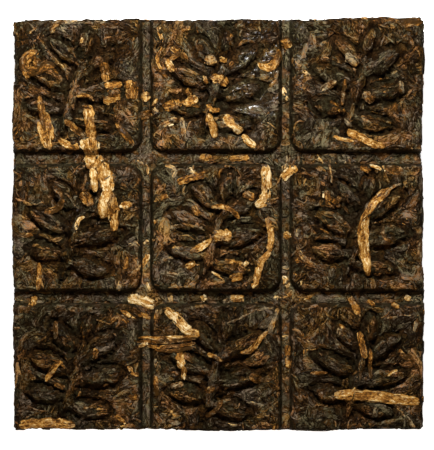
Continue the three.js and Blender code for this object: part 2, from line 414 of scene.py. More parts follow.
class TeaColours(bpy.types.PropertyGroup):
    """Colours of the warm leaves, of the dull ones and of the golden strips, each from dark to pale."""

    black_leaf: colour_setting("Black Leaf", "Darkest leaf", 0.006, 0.0027, 0.0004)
    dark_leaf: colour_setting("Dark Leaf", "Common dark brown leaf", 0.0295, 0.0131, 0.0022)
    brown_leaf: colour_setting("Brown Leaf", "Warm brown leaf", 0.077, 0.0348, 0.0074)
    chestnut_leaf: colour_setting("Chestnut Leaf", "Lighter reddish brown leaf", 0.168, 0.0805, 0.022)
    tan_leaf: colour_setting("Tan Leaf", "Tan leaf, the palest of the warm leaves", 0.27, 0.140, 0.048)
    charcoal_leaf: colour_setting("Charcoal Leaf", "Common dark leaf without warmth", 0.0208, 0.0156, 0.0070)
    grey_leaf: colour_setting("Grey Leaf", "Dull greyish leaf", 0.0555, 0.0438, 0.0255)
    olive_leaf: colour_setting("Olive Leaf", "Lighter olive leaf", 0.122, 0.096, 0.057)
    russet: colour_setting("Russet", "Brown base of the golden strips", 0.090, 0.034, 0.006)
    orange: colour_setting("Orange", "Orange of the golden strips", 0.25, 0.107, 0.017)
    straw: colour_setting("Straw", "Straw colour of the golden strips", 0.22, 0.160, 0.085)
    gold: colour_setting("Gold", "Gold of the stems and tips", 0.370, 0.214, 0.061)
    pale: colour_setting("Pale Gold", "Palest gold", 0.560, 0.432, 0.238)


class StageSizes(bpy.types.PropertyGroup):
    """Camera, lights and floor."""

    lens: number_setting("Lens", "Focal length in millimetres", 180, "CAMERA")
    sensor: number_setting("Sensor", "Sensor height in millimetres", 36, "CAMERA")
    key_energy: number_setting("Key Power", "Power of the key light", 1.35, "POWER")
    fill_energy: number_setting("Fill Power", "Power of the weak light opposite the key", 0.55, "POWER")
    sky_strength: number_setting("Sky Strength", "Brightness of the light from all round", 0.12)
    floor_glow: number_setting("Floor Glow", "Light that the floor gives of itself", 1.0)
    floor_colour: colour_setting("Floor Colour", "Colour of the plain floor", 0.93, 0.93, 0.93)


class TeaBrickSettings(bpy.types.PropertyGroup):
    """Everything that a user of the brick may change."""

    sizes: bpy.props.PointerProperty(type=BrickSizes)
    amounts: bpy.props.PointerProperty(type=LeafAmounts)
    colours: bpy.props.PointerProperty(type=TeaColours)
    stage: bpy.props.PointerProperty(type=StageSizes)


def wave_field(seed, wavelength, waves=14):
    """Returns a smooth random field: a sum of sine waves of like length, each in its own direction."""
    rng = np.random.default_rng(seed)
    shortest, longest = 0.7, 1.5
    direction = rng.uniform(0, TURN, waves)
    length = wavelength * rng.uniform(shortest, longest, waves)
    phase = rng.uniform(0, TURN, waves)
    across = TURN * np.cos(direction) / length
    along = TURN * np.sin(direction) / length

    def field(x, y):
        """The waves' sum, scaled so that its mean square is one."""
        total = np.zeros(np.broadcast(x, y).shape)
        for step_x, step_y, start in zip(across, along, phase):
            total += np.sin(step_x * x + step_y * y + start)
        return total / math.sqrt(waves / 2)

    return field


class Mould:
    """The brick's outer surface, as a sheet that is moulded on top and folded down round the sides.

    A point of the sheet has two coordinates, measured along the surface from the brick's middle. Inside
    the outline they are X and Y. Outside it the sheet bends over the rounded edge, runs down the side and
    bends under. The underside is the same sheet without grooves and sprigs, turned half round about Y.
    """

    # The step that slopes are measured over, and how far strips reach over the brim, a shoulder and a hollow.
    SLOPE_STEP = 0.04 * MM
    BRIM = 0.3 * MM
    SHOULDER_SHARE = 0.85
    DRAPE_REACH = 1.3 * MM

    # Seed and wavelength of the faces' waves, their heights, and how much a groove's floor flattens them.
    UNEVEN_WAVES = (11, 9 * MM)
    UNEVEN_HEIGHT = 0.16 * MM
    LUMP_WAVES = (12, 4.5 * MM)
    LUMP_HEIGHT = 0.10 * MM
    PRESSED_FLATTENING = 0.7

    # Each of the outline's waves: its share of the height, its number along a side, its shift between sides.
    EDGE_WAVES = ((0.6, 1.3, 0.37), (0.4, 3.7, 0.61))
    SLOPE_PIVOT = 0.75

    # The sprig's waves, its leaves' shape, and the hollow round it.
    WARP_SEEDS = (13, 14)
    WARP_WAVES = {"wavelength": 7 * MM, "waves": 6}
    WARP = 0.2 * MM
    OUTLINE_POWER = 0.75
    LENGTH_POWER = 0.6
    CROSS_POWER = 0.4
    WIDEST_STEM = 3.0
    MIDRIB_DEPTH = 0.5 * MM
    MIDRIB_WIDTH = 0.35 * MM
    MIDRIB_CLEARANCE = 0.2 * MM
    SPRIG_INSET = 0.05 * MM
    SPRIG_CLEARANCE = 0.35 * MM
    MOAT_DEPTH = 1.3 * MM
    MOAT_PLACE = 0.15 * MM
    MOAT_WIDTH = 0.5 * MM

    def __init__(self, sizes):
        self.half = sizes.side / 2
        self.face = sizes.face_height
        self.edge_round = sizes.edge_round
        self.edge_wave = sizes.edge_wave
        self.edge_swell = sizes.edge_swell
        self.top_slope = sizes.top_slope
        self.groove_depth = sizes.groove_depth
        self.groove_floor = sizes.groove_floor
        self.wall_run = sizes.wall_run
        self.tablet_corner = sizes.tablet_corner
        self.relief_height = sizes.relief_height
        self.uneven = wave_field(*self.UNEVEN_WAVES)
        self.lumps = wave_field(*self.LUMP_WAVES)
        self.warps = [wave_field(seed, **self.WARP_WAVES) for seed in self.WARP_SEEDS]
        beyond = 2 * sizes.side
        self.groove_middles = []
        self.tablet_spans = []
        self.tablet_middles = []
        for shift, floor in zip(sizes.grid_shift, sizes.groove_floor):
            reach = floor / 2 + sizes.wall_run
            middles = np.array([shift - sizes.groove_pitch / 2, shift + sizes.groove_pitch / 2])
            lows = np.concatenate([[-beyond], middles + reach])
            highs = np.concatenate([middles - reach, [beyond]])
            shown = np.clip(np.stack([lows, highs]), -self.half, self.half)
            self.groove_middles.append(middles)
            self.tablet_spans.append((lows, highs))
            self.tablet_middles.append(shown.mean(axis=0))

    def outside_tablet(self, x, y):
        """Distance outside the nearest tablet's face: that of a rectangle with rounded corners."""
        gaps = []
        for value, middles, (lows, highs) in zip((x, y), self.groove_middles, self.tablet_spans):
            cell = np.searchsorted(middles, value)
            middle = (lows[cell] + highs[cell]) / 2
            half_width = (highs[cell] - lows[cell]) / 2 - self.tablet_corner
            gaps.append(np.abs(value - middle) - half_width)
        past = np.hypot(np.maximum(gaps[0], 0), np.maximum(gaps[1], 0))
        return past + np.minimum(np.maximum(gaps[0], gaps[1]), 0) - self.tablet_corner

    def sprig(self, x, y):
        """The sprig's height, the distance outside its outline, and the nearest leaf's heading and midrib.

        A leaf's half width is a power of a sine of the share along it. Its height falls from the middle
        to the outline as a power of the circle's formula, lessens with the half width towards the tip, and
        dips along the midrib. Waves shift the places a little, so that no two sprigs are alike. The last
        value is the distance from the midrib.
        """
        local = []
        axes = zip((x, y), self.groove_middles, self.tablet_middles, self.warps)
        for value, grooves, middles, warp in axes:
            local.append(value - middles[np.searchsorted(grooves, value)] + self.WARP * warp(x, y))
        height = np.zeros(np.broadcast(x, y).shape)
        outside = np.full(height.shape, FAR)
        headings = np.zeros(height.shape)
        off_rib = np.full(height.shape, FAR)
        for (root_x, root_y), heading, length, width in SPRIG_LEAVES:
            turn = math.radians(heading)
            dx = local[0] - root_x * MM
            dy = local[1] - root_y * MM
            along = dx * math.cos(turn) + dy * math.sin(turn)
            aside = np.abs(dy * math.cos(turn) - dx * math.sin(turn))
            share = np.clip(along / (length * MM), 0, 1)
            fullness = np.sin(math.pi * share) ** self.OUTLINE_POWER
            half_width = width * MM / 2 * fullness
            beyond = np.maximum(np.abs(along - length * MM / 2) - length * MM / 2, 0)
            distance = np.where(beyond > 0, np.hypot(aside, beyond), aside - half_width)
            circle = np.maximum(1 - (aside / np.maximum(half_width, TINY)) ** 2, 0)
            shape = fullness ** self.LENGTH_POWER * circle ** self.CROSS_POWER
            rise = self.relief_height * shape * (beyond <= 0)
            ribbed = width > self.WIDEST_STEM
            midrib = ribbed * self.MIDRIB_DEPTH * np.exp(-(aside / self.MIDRIB_WIDTH) ** 2)
            height = np.maximum(height, np.maximum(rise - midrib, 0))
            nearer = distance < outside
            headings = np.where(nearer, turn, headings)
            off_rib = np.where(nearer, aside if ribbed else FAR, off_rib)
            outside = np.minimum(outside, distance)
        return height, outside, headings, off_rib

    def pressed(self, x, y):
        """How hard the leaf is pressed: 0 on a tablet's face and 1 on a groove's floor."""
        return np.clip(self.outside_tablet(x, y) / self.wall_run, 0, 1)

    def top_height(self, x, y, draped=False):
        """Face height, less the grooves and the hollow round the sprig, plus the sprig and slight unevenness.

        A groove's wall is the smooth step of the squared share of the way down it. A draped strip keeps out
        of the hollow: there it takes the sprig's mean height nearby.
        """
        share = self.pressed(x, y)
        drop = self.groove_depth * share ** 4 * (3 - 2 * share ** 2)
        uneven = self.UNEVEN_HEIGHT * self.uneven(x, y) + self.LUMP_HEIGHT * self.lumps(x, y)
        raised, outside = self.sprig(x, y)[:2]
        moat = self.MOAT_DEPTH * np.exp(-((outside - self.MOAT_PLACE) / self.MOAT_WIDTH) ** 2)
        if draped:
            moat = 0.0
            reach = self.DRAPE_REACH
            around = [(reach, 0), (-reach, 0), (0, reach), (0, -reach)]
            nearby = np.mean([self.sprig(x + dx, y + dy)[0] for dx, dy in around], axis=0)
            raised = np.maximum(raised, nearby)
        return self.face - drop + raised - moat * (1 - share) + uneven * (1 - self.PRESSED_FLATTENING * share)

    def side_inset(self, side, along):
        """How far the outline stands inside the square: two sine waves, and the top edge's slope."""
        share = np.clip((along / self.half + 1) / 2, 0, 1)
        wave = 1.0
        for height, count, shift in self.EDGE_WAVES:
            wave = wave + height * np.sin(TURN * (count * share + shift * side))
        slope = self.top_slope * (self.SLOPE_PIVOT - share) if side == TOP_SIDE else 0.0
        return self.edge_wave * wave - self.edge_swell - slope

    def gap(self, region, u, v):
        """Distance outside a region of the sheet: a tablet's field or sprig, a groove, a side or the base."""
        reach = np.maximum(np.abs(u), np.abs(v))
        lesser = np.minimum(np.abs(u), np.abs(v))
        brim = reach - self.half - self.BRIM
        outside = self.outside_tablet(u, v)
        tablet = np.maximum(outside - self.SHOULDER_SHARE * self.wall_run, brim)
        _, off_sprig, _, off_rib = self.sprig(u, v)
        field = np.maximum(tablet, self.SPRIG_CLEARANCE - off_sprig)
        sprig = np.maximum(np.maximum(tablet, off_sprig + self.SPRIG_INSET), self.MIDRIB_CLEARANCE - off_rib)
        groove = np.maximum(self.wall_run - outside, brim)
        below = np.maximum(self.half - reach, reach - self.half - self.face)
        side = np.maximum(below, lesser - self.half)
        under = reach - self.half + self.BRIM
        return np.choose(np.broadcast_to(region, reach.shape), [field, sprig, groove, side, under, brim])

    def fold(self, u, v, under, draped):
        """Place of the sheet's points: beyond the outline, an arc, the straight side, an arc and the base."""
        flat = self.half - self.edge_round
        low_u = -flat + self.side_inset(LEFT_SIDE, -v)
        high_u = flat - self.side_inset(RIGHT_SIDE, v)
        low_v = -flat + self.side_inset(BOTTOM_SIDE, u)
        high_v = flat - self.side_inset(TOP_SIDE, -u)
        inner_u = np.clip(u, low_u, high_u)
        inner_v = np.clip(v, low_v, high_v)
        past_u = u - inner_u
        past_v = v - inner_v
        past = np.hypot(past_u, past_v)
        safe = np.maximum(past, TINY)
        top = np.where(under, self.face, self.top_height(inner_u, inner_v, draped))
        radius = self.edge_round
        arc = radius * math.pi / 2
        straight = top - 2 * radius
        bend_top = np.clip(past / radius, 0, math.pi / 2)
        bend_base = np.clip((past - arc - straight) / radius, 0, math.pi / 2)
        inward = np.maximum(past - 2 * arc - straight, 0)
        run = np.clip(past - arc, 0, straight)
        out = radius * (np.sin(bend_top) - (1 - np.cos(bend_base))) - inward
        down = radius * (1 - np.cos(bend_top)) + run + radius * np.sin(bend_base)
        x = inner_u + past_u / safe * out
        y = inner_v + past_v / safe * out
        z = top - down
        return np.stack([np.where(under, -x, x), y, np.where(under, self.face - z, z)], axis=-1)

    def lay(self, u, v, lift, under=False, draped=False):
        """Points lifted off the sheet along its normal, the cross product of its two slopes."""
        step = self.SLOPE_STEP
        slope_u = self.fold(u + step, v, under, draped) - self.fold(u - step, v, under, draped)
        slope_v = self.fold(u, v + step, under, draped) - self.fold(u, v - step, under, draped)
        normal = np.cross(slope_u, slope_v)
        normal /= np.maximum(np.linalg.norm(normal, axis=-1, keepdims=True), TINY)
        points = self.fold(u, v, under, draped) + normal * np.asarray(lift)[..., None]
        points[..., 2] = np.maximum(points[..., 2], 0)
        return points


def put_mesh(name, vertices, corners, sizes):
    """Makes an object from arrays: the vertices, the faces' corners in one row, and each face's size."""
    mesh = bpy.data.meshes.new(name)
    mesh.vertices.add(len(vertices))
    mesh.vertices.foreach_set("co", vertices.astype(np.float32).ravel())
    mesh.loops.add(len(corners))
    mesh.loops.foreach_set("vertex_index", corners.astype(np.int32))
    mesh.polygons.add(len(sizes))
    starts = np.concatenate([[0], np.cumsum(sizes)[:-1]])
    mesh.polygons.foreach_set("loop_start", starts.astype(np.int32))
    mesh.polygons.foreach_set("use_smooth", np.ones(len(sizes), dtype=bool))
    mesh.update(calc_edges=True)
    if mesh.validate():
        raise RuntimeError(f"{name} has faulty faces")
    piece = bpy.data.objects.new(name, mesh)
    bpy.context.scene.collection.objects.link(piece)
    return piece


def put_values(piece, name, values):
    """Stores one number for each vertex, for the piece's finish to read."""
    attribute = piece.data.attributes.new(name, "FLOAT", "POINT")
    attribute.data.foreach_set("value", values.astype(np.float32))


def put_map(piece, name, places):
    """Stores a UV map, one place for each corner of each face."""
    layer = piece.data.uv_layers.new(name=name)
    layer.uv.foreach_set("vector", places.astype(np.float32).ravel())


def dress(piece, finish):
    """Gives the piece its finish and ties it to the brick's body."""
    piece.data.materials.append(finish)
    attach(piece, BODY)


class StripKind:
    """How strips of one kind are meshed: rings along a strip, corners round it, and how rough it is.

    The rings' shares of the length run from one end gap to the other. Ragged sides, ridges and crumples are
    shares of the width and the thickness.
    """

    def __init__(self, rings, profile_degrees, ragged, ridges, crumple):
        self.shares = np.linspace(END_GAP, 1 - END_GAP, rings)
        self.off_middle = np.abs(2 * self.shares - 1)
        angles = np.radians(profile_degrees)
        self.across = np.cos(angles)
        self.up = np.sin(angles)
        self.ragged = ragged
        self.ridges = ridges
        self.crumple = crumple

    def tiles(self):
        """One strip's corners and their places (along, around): rows of quads, then a fan at each end."""
        rings = len(self.shares)
        sides = len(self.across)
        ring, side = np.meshgrid(np.arange(rings - 1), np.arange(sides), indexing="ij")
        ring = ring.ravel()[:, None] + np.array([0, 0, 1, 1])
        side = side.ravel()[:, None] + np.array([0, 1, 1, 0])
        quads = ring * sides + side % sides
        quad_places = np.stack([self.shares[ring], side / sides], axis=-1)
        around = np.arange(sides)
        ends = []
        end_places = []
        for ring_index, pole, order in ((0, 0, (1, 0)), (rings - 1, 1, (0, 1))):
            first, second = around + order[0], around + order[1]
            base = ring_index * sides
            pole_index = np.full(sides, rings * sides + pole)
            ends.append(np.stack([base + first % sides, base + second % sides, pole_index], axis=-1))
            level = np.full(sides, self.shares[ring_index])
            along = np.stack([level, level, np.full(sides, pole)], axis=-1)
            turned = np.stack([first, second, around + 0.5], axis=-1) / sides
            end_places.append(np.stack([along, turned], axis=-1))
        corners = np.concatenate([quads.ravel()] + [end.ravel() for end in ends])
        places = np.concatenate([quad_places.reshape(-1, 2)] + [end.reshape(-1, 2) for end in end_places])
        sizes = np.concatenate([np.full(len(quads), 4), np.full(2 * sides, 3)])
        return corners, places, sizes

    def margins(self):
        """How near each vertex of a strip is to its margin: 0 on the crest, 1 at the sides and the tips."""
        ends = np.clip((self.off_middle - MARGIN_START) / (1 - MARGIN_START), 0, 1)
        margin = np.maximum(np.abs(self.across), ends[:, None])
        return np.append(margin.ravel(), [1, 1])


def wandering_lines(rng, starts, heading, length, bend, swing):
    """Centre lines that turn evenly by `bend` and swing by a sine: the running sum of short steps."""
    count = len(starts)
    shares = np.linspace(0, 1, LINE_STEPS)
    heading = heading[:, None] + bend * rng.normal(0, 1, (count, 1)) * (shares - 0.5)
    heading = heading + swing * np.sin(TURN * (shares + rng.uniform(0, 1, (count, 1))))
    steps = np.stack([np.cos(heading), np.sin(heading)], axis=-1) * length[:, None, None] / LINE_STEPS
    lines = np.cumsum(steps, axis=1)
    return lines - lines[:, LINE_STEPS // 2, None] + starts[:, None, :]


def trimmed_lines(mould, lines, region, shares):
    """Each line's stretch inside its region, from the middle outwards, sampled anew at the rings' shares.

    The second value is the share of each line that is kept.
    """
    steps = np.arange(LINE_STEPS)
    middle = LINE_STEPS // 2
    outside = mould.gap(region[:, None], lines[..., 0], lines[..., 1]) > 0
    first = np.where(outside & (steps <= middle), steps + 1, 0).max(axis=1)
    last = np.where(outside & (steps >= middle), steps - 1, LINE_STEPS - 1).min(axis=1)
    last = np.maximum(last, first + 1)
    place = first[:, None] + (last - first)[:, None] * shares
    low = np.clip(place.astype(int), 0, LINE_STEPS - 2)
    share = (place - low)[..., None]
    rows = np.arange(len(lines))[:, None]
    sampled = lines[rows, low] * (1 - share) + lines[rows, low + 1] * share
    return sampled, (last - first) / (LINE_STEPS - 1)


def line_through(points, shares):
    """A smooth line through a few points: the polynomial that passes each at its share of the chord."""
    points = np.array(points) * MM
    chords = np.linalg.norm(np.diff(points, axis=0), axis=1)
    knots = np.concatenate([[0], np.cumsum(chords)]) / chords.sum()
    line = np.zeros((len(shares), 2))
    for index, point in enumerate(points):
        weight = np.ones(len(shares))
        for other, knot in enumerate(knots):
            if other != index:
                weight = weight * (shares - knot) / (knots[index] - knot)
        line += weight[:, None] * point
    return line


def scatter(rng, mould, kind, count, region_shares, lengths, bend, swing):
    """Centre lines at chance places, so many in each region, trimmed to it and none too short."""
    lines = []
    regions = []
    for region, region_share in enumerate(region_shares):
        wanted = round(count * region_share)
        wide = mould.half + (mould.face if region == SIDE else 0)
        places = rng.uniform(-wide, wide, (wanted * SPARE[region], 2))
        places = places[mould.gap(region, places[:, 0], places[:, 1]) < 0]
        length = rng.uniform(*lengths, len(places)) * MM
        heading = rng.uniform(0, TURN, len(places))
        _, off_sprig, sprig_heading, _ = mould.sprig(places[:, 0], places[:, 1])
        followed = (off_sprig < FOLLOWED_REACH) & (region <= SPRIG)
        heading = np.where(followed, sprig_heading + rng.normal(0, FOLLOWED_STRAY, len(places)), heading)
        drawn = wandering_lines(rng, places, heading, length, bend, swing)
        sampled, kept = trimmed_lines(mould, drawn, np.full(len(places), region), kind.shares)
        sampled = sampled[kept * length > SHORTEST][:wanted]
        lines.append(sampled)
        regions.append(np.full(len(sampled), region))
    return np.concatenate(lines), np.concatenate(regions)


def soft_limit(value, limit, softness):
    """Values that stay below a limit: a smooth minimum by the logarithm of a sum of exponentials."""
    return limit - softness * np.logaddexp(0, (limit - value) / softness)


def profile_places(mould, kind, rng, lines, region, width, blunt):
    """Places of the profile's corners on the sheet, along each centre line.

    Half the width follows a power of 1 - |2 share - 1| ** blunt with ragged sides, and is pulled in where it
    would leave its region.
    """
    direction = np.gradient(lines, axis=1)
    direction /= np.maximum(np.linalg.norm(direction, axis=-1, keepdims=True), TINY)
    aside = np.stack([-direction[..., 1], direction[..., 0]], axis=-1)[:, :, None, :]
    middle = lines[:, :, None, :]
    taper = (1 - kind.off_middle ** blunt[:, None]) ** TAPER_POWER
    wide = width * np.where(region == UNDERSIDE, UNDERSIDE_WIDENING, 1.0)
    half_width = wide[:, None] / 2 * taper
    sway = rng.normal(0, 1, (len(lines), len(kind.shares) + 2, 2))
    sway = 1 + kind.ragged * (sway[:, :-2] + 2 * sway[:, 1:-1] + sway[:, 2:]) / 4
    reach = half_width[..., None] * np.where(kind.across > 0, sway[..., :1], sway[..., 1:]) * kind.across
    for _ in range(PULL_ROUNDS):
        places = middle + aside * reach[..., None]
        past = np.maximum(mould.gap(region[:, None, None], places[..., 0], places[..., 1]), 0)
        reach = reach * np.clip(1 - past / np.maximum(np.abs(reach), TINY), LEAST_REACH, 1)
    return middle + aside * reach[..., None]


def profile_heights(mould, kind, rng, lines, region, thick, crown):
    """Heights of the profile's corners above the sheet, and of the strip's crown.

    The height is the crown less the flat-topped profile's fall, with lengthwise ridges, crumples, a wave and
    a dive at both ends, and it stays below the cap. Strips on the brick's sides stray outwards by chance.
    """
    count, rings = lines.shape[:2]
    fall = np.where(kind.up > 0, 1 - np.abs(kind.up) ** CREST_POWER, 1 + BELLY * np.abs(kind.up))
    turns = rng.uniform(*RIDGE_TURNS, (count, 1, 1))
    drift = rng.uniform(-RIDGE_DRIFT, RIDGE_DRIFT, (count, 1, 1))
    start = rng.uniform(0, TURN, (count, 1, 1))
    ridge = np.cos(math.pi * turns * kind.across + drift * TURN * kind.shares[:, None] + start)
    crumples = kind.crumple * rng.normal(0, 1, (count, rings, len(kind.across)))
    wave = WAVE_HEIGHT * np.sin(TURN * (WAVES_ALONG * kind.shares + rng.uniform(0, 1, (count, 1))))
    dive = DIVE_DEPTH * kind.off_middle ** DIVE_POWER
    surface = np.sqrt(np.maximum(kind.up, 0)) * (kind.ridges * (ridge - RIDGE_SINK) + crumples) - fall
    stray = np.where(lines[:, rings // 2, 0] > mould.half, FRAYED_STRAY, SIDE_STRAY) * (region == SIDE)
    crown = crown + rng.exponential(1, count) * stray
    height = crown[:, None] + thick[:, None] * (wave - dive)
    height = height[..., None] + thick[:, None, None] * surface
    return soft_limit(height, CROWN_CAP + STRAY_ROOM * stray[:, None, None], CAP_SOFTNESS), crown


def spot(x, y, place, radius):
    """A round spot, 1 in its middle, that fades as a bell curve."""
    away = np.hypot(x - place[0] * MM, y - place[1] * MM)
    return np.exp(-(away / (radius * MM)) ** 2)


def patches(x, y, seed, wavelength, amount):
    """A wave field times an amount."""
    return amount * wave_field(seed, wavelength)(x, y)


def strip_colours(rng, lines, region, tone, hue):
    """Each strip's tone, dullness and gloss: its own, changed by its region and by its place on the brick.

    Painted light by row, lightest at the upper groove, and a painted pool of light round the middle tablet.
    """
    x, y = lines.mean(axis=1).T
    scattered = region != FACE
    on_tablet = region <= SPRIG
    in_groove = region == GROOVE
    painted_light = spot(x, y, PAINTED_LIGHT_PLACE, PAINTED_LIGHT_RADIUS) * on_tablet
    wet = spot(x, y, WET_PLACE, WET_RADIUS) * scattered
    tone = np.where(in_groove, GROOVE_TONE + GROOVE_VARIETY * tone, tone)
    tone = np.where(region == SPRIG, SPRIG_TONE + SPRIG_VARIETY * tone, tone)
    # Random tone patches, painted light by row and a painted pool of light round the middle tablet.
    shade = patches(x, y, *TONE_PATCHES) + np.interp(y / MM, ROW_PLACES, ROW_PAINTED_LIGHT)
    tone = tone + shade * scattered + PAINTED_LIGHT_TONE * painted_light - WET_DARKENING * wet
    hue = hue + patches(x, y, *HUE_PATCHES) * scattered + PAINTED_LIGHT_DULLING * painted_light
    hue = np.clip(hue + GROOVE_HUE * in_groove, 0, 1)
    hue = np.clip(hue + WET_DULLING * wet, 0, 1)
    gloss = DRY_GLOSS * rng.beta(*DRY_GLOSS_SPREAD, len(lines)) + wet * on_tablet
    return tone, hue, gloss


def grain_places(rng, corner_places, lines, width):
    """Places on the leaf in millimetres: along the strip and round it, with each strip shifted by chance."""
    length = np.linalg.norm(np.diff(lines, axis=1), axis=-1).sum(axis=1)
    along = corner_places[None, :, 0] * length[:, None] / MM
    around = corner_places[None, :, 1] * GIRTH_IN_WIDTHS * width[:, None] / MM
    shift = rng.uniform(0, GRAIN_SPREAD, (len(lines), 1, 2))
    return np.stack([along, around], axis=-1) + shift


def bake_places(corner_places, count):
    """Places in a square of cells, one cell for each strip, with a margin round each."""
    columns = math.ceil(math.sqrt(count))
    cell = np.stack([np.arange(count) % columns, np.arange(count) // columns], axis=-1)
    inside = CELL_MARGIN + (1 - 2 * CELL_MARGIN) * corner_places
    return (cell[:, None, :] + inside) / columns


def strip_mesh(name, mould, kind, rng, lines, region, width, thick, crown, blunt, tone, hue, draped=False):
    """A profile carried along each centre line and laid on the mould, closed by a sunk tip at both ends."""
    count, rings = lines.shape[:2]
    under = (region == UNDERSIDE)[:, None, None]
    places = profile_places(mould, kind, rng, lines, region, width, blunt)
    height, crown = profile_heights(mould, kind, rng, lines, region, thick, crown)
    points = mould.lay(places[..., 0], places[..., 1], height, under, draped)
    tips = []
    for ring, other in ((0, 1), (rings - 1, rings - 2)):
        point = lines[:, ring] + (lines[:, ring] - lines[:, other]) * TIP_REACH
        tips.append(mould.lay(point[:, 0], point[:, 1], crown - TIP_DEPTH * thick, under[:, 0, 0], draped))
    vertices = np.concatenate([points.reshape(count, -1, 3), np.stack(tips, axis=1)], axis=1)
    corners, corner_places, sizes = kind.tiles()
    per_strip = vertices.shape[1]
    offsets = np.arange(count)[:, None] * per_strip
    piece = put_mesh(name, vertices.reshape(-1, 3), (corners + offsets).ravel(), np.tile(sizes, count))
    for value_name, values in zip(STRIP_VALUES, strip_colours(rng, lines, region, tone, hue)):
        put_values(piece, value_name, np.repeat(values, per_strip))
    put_values(piece, MARGIN_VALUE, np.tile(kind.margins(), count))
    put_map(piece, GRAIN_MAP, grain_places(rng, corner_places, lines, width))
    put_map(piece, BAKE_MAP, bake_places(corner_places, count))
    return piece


class Wire:
    """A node's output that takes part in arithmetic: each operator adds its Math node."""

    def __init__(self, finish, socket):
        self.finish = finish
        self.socket = socket

    def math(self, operation, first, second):
        """Adds a Math node."""
        return self.finish.add("ShaderNodeMath", {"operation": operation}, {0: first, 1: second})

    def __add__(self, other):
        return self.math("ADD", self, other)

    __radd__ = __add__

    def __sub__(self, other):
        return self.math("SUBTRACT", self, other)

    def __rsub__(self, other):
        return self.math("SUBTRACT", other, self)

    def __mul__(self, other):
        return self.math("MULTIPLY", self, other)

    __rmul__ = __mul__

    def __abs__(self):
        return self.math("ABSOLUTE", self, 0.0)


class Finish:
    """A material's node tree, to which any node is added from its type, settings and sockets."""

    def __init__(self, name):
        self.material = bpy.data.materials.new(name)
        self.material.use_nodes = True
        self.tree = self.material.node_tree
        self.tree.nodes.clear()

    def add(self, kind, settings=None, sockets=None, output=0):
        """Adds a node: settings first, a ramp's stops among them, then each socket's value or link."""
        node = self.tree.nodes.new(kind)
        for name, value in (settings or {}).items():
            if name == "stops":
                self.set_stops(node.color_ramp, value)
            else:
                setattr(node, name, value)
        for name, value in (sockets or {}).items():
            if isinstance(value, Wire):
                self.tree.links.new(value.socket, node.inputs[name])
            else:
                node.inputs[name].default_value = value
        return Wire(self, node.outputs[output]) if node.outputs else node

    @staticmethod
    def set_stops(ramp, stops):
        """Gives a ramp its stops: place and colour."""
        while len(ramp.elements) < len(stops):
            ramp.elements.new(1.0)
        for element, (place, colour) in zip(ramp.elements, stops):
            element.position = place
            element.color = opaque(colour)

    def place(self):
        """The point on the brick."""
        return self.add("ShaderNodeTexCoord", output="Object")

    def value(self, name):
        """A number that the piece carries."""
        return self.add("ShaderNodeAttribute", {"attribute_name": name}, output="Fac")

    def noise(self, vector, scale=1.0, detail=4.0, roughness=0.6, distortion=0.0):
        """A noise pattern's value, from 0 to 1."""
        sockets = {
            "Vector": vector, "Scale": scale, "Detail": detail, "Roughness": roughness,
            "Distortion": distortion}
        return self.add("ShaderNodeTexNoise", {}, sockets)

    def stretched(self, vector, stretch):
        """A vector times a fixed one."""
        return self.add("ShaderNodeVectorMath", {"operation": "MULTIPLY"}, {0: vector, 1: stretch})

    def ramp(self, value, stops):
        """A colour from a value."""
        return self.add("ShaderNodeValToRGB", {"stops": stops}, {"Fac": value})

    def between(self, value, low, high):
        """A value's share of the way from low to high, held between 0 and 1."""
        settings = {"interpolation_type": "SMOOTHSTEP"}
        return self.add("ShaderNodeMapRange", settings, {"Value": value, "From Min": low, "From Max": high})

    def mix(self, share, first, second, blend="MIX"):
        """One colour changing to another, or multiplied by it."""
        settings = {"data_type": "RGBA", "blend_type": blend}
        sockets = {MIX_SHARE: share, MIX_FIRST: first, MIX_SECOND: second}
        return self.add("ShaderNodeMix", settings, sockets, output=MIX_RESULT)

    def with_cast(self, colour, place):
        """A colour times a slow change from a plum to a moss cast."""
        share = self.between(self.noise(place, scale=260.0, detail=2.0), low=0.36, high=0.64)
        return self.mix(1.0, colour, self.mix(share, opaque(PLUM_CAST), opaque(MOSS_CAST)), blend="MULTIPLY")

    def seams(self, pattern):
        """A pattern's contour at one half: the crease on it, the lip beside it, and its upper side.

        The crease gives painted shade and a dent, and the lip a painted highlight.
        """
        away = pattern - 0.5
        crease = 1 - self.between(abs(away), low=0.0, high=0.045)
        side = self.between(away, low=-0.01, high=0.03)
        lip = side * (1 - self.between(away, low=0.05, high=0.11))
        return crease, lip, side

    def bump(self, height, distance):
        """A normal tilted by a height pattern."""
        return self.add("ShaderNodeBump", {}, {"Height": height, "Strength": 1.0, "Distance": distance})

    def surface(self, sockets):
        """Ends the tree in one main shader."""
        shader = self.add("ShaderNodeBsdfPrincipled", {}, sockets)
        self.add("ShaderNodeOutputMaterial", {}, {"Surface": shader})
        return self.material


def opaque(colour):
    """A colour with full alpha, as colour sockets take it."""
    return (*colour, 1.0)


def ramp_stops(colours, ramp):
    """A ramp's stops, with the colours that the settings give."""
    return [(place, getattr(colours, name)) for place, name in RAMPS[ramp]]


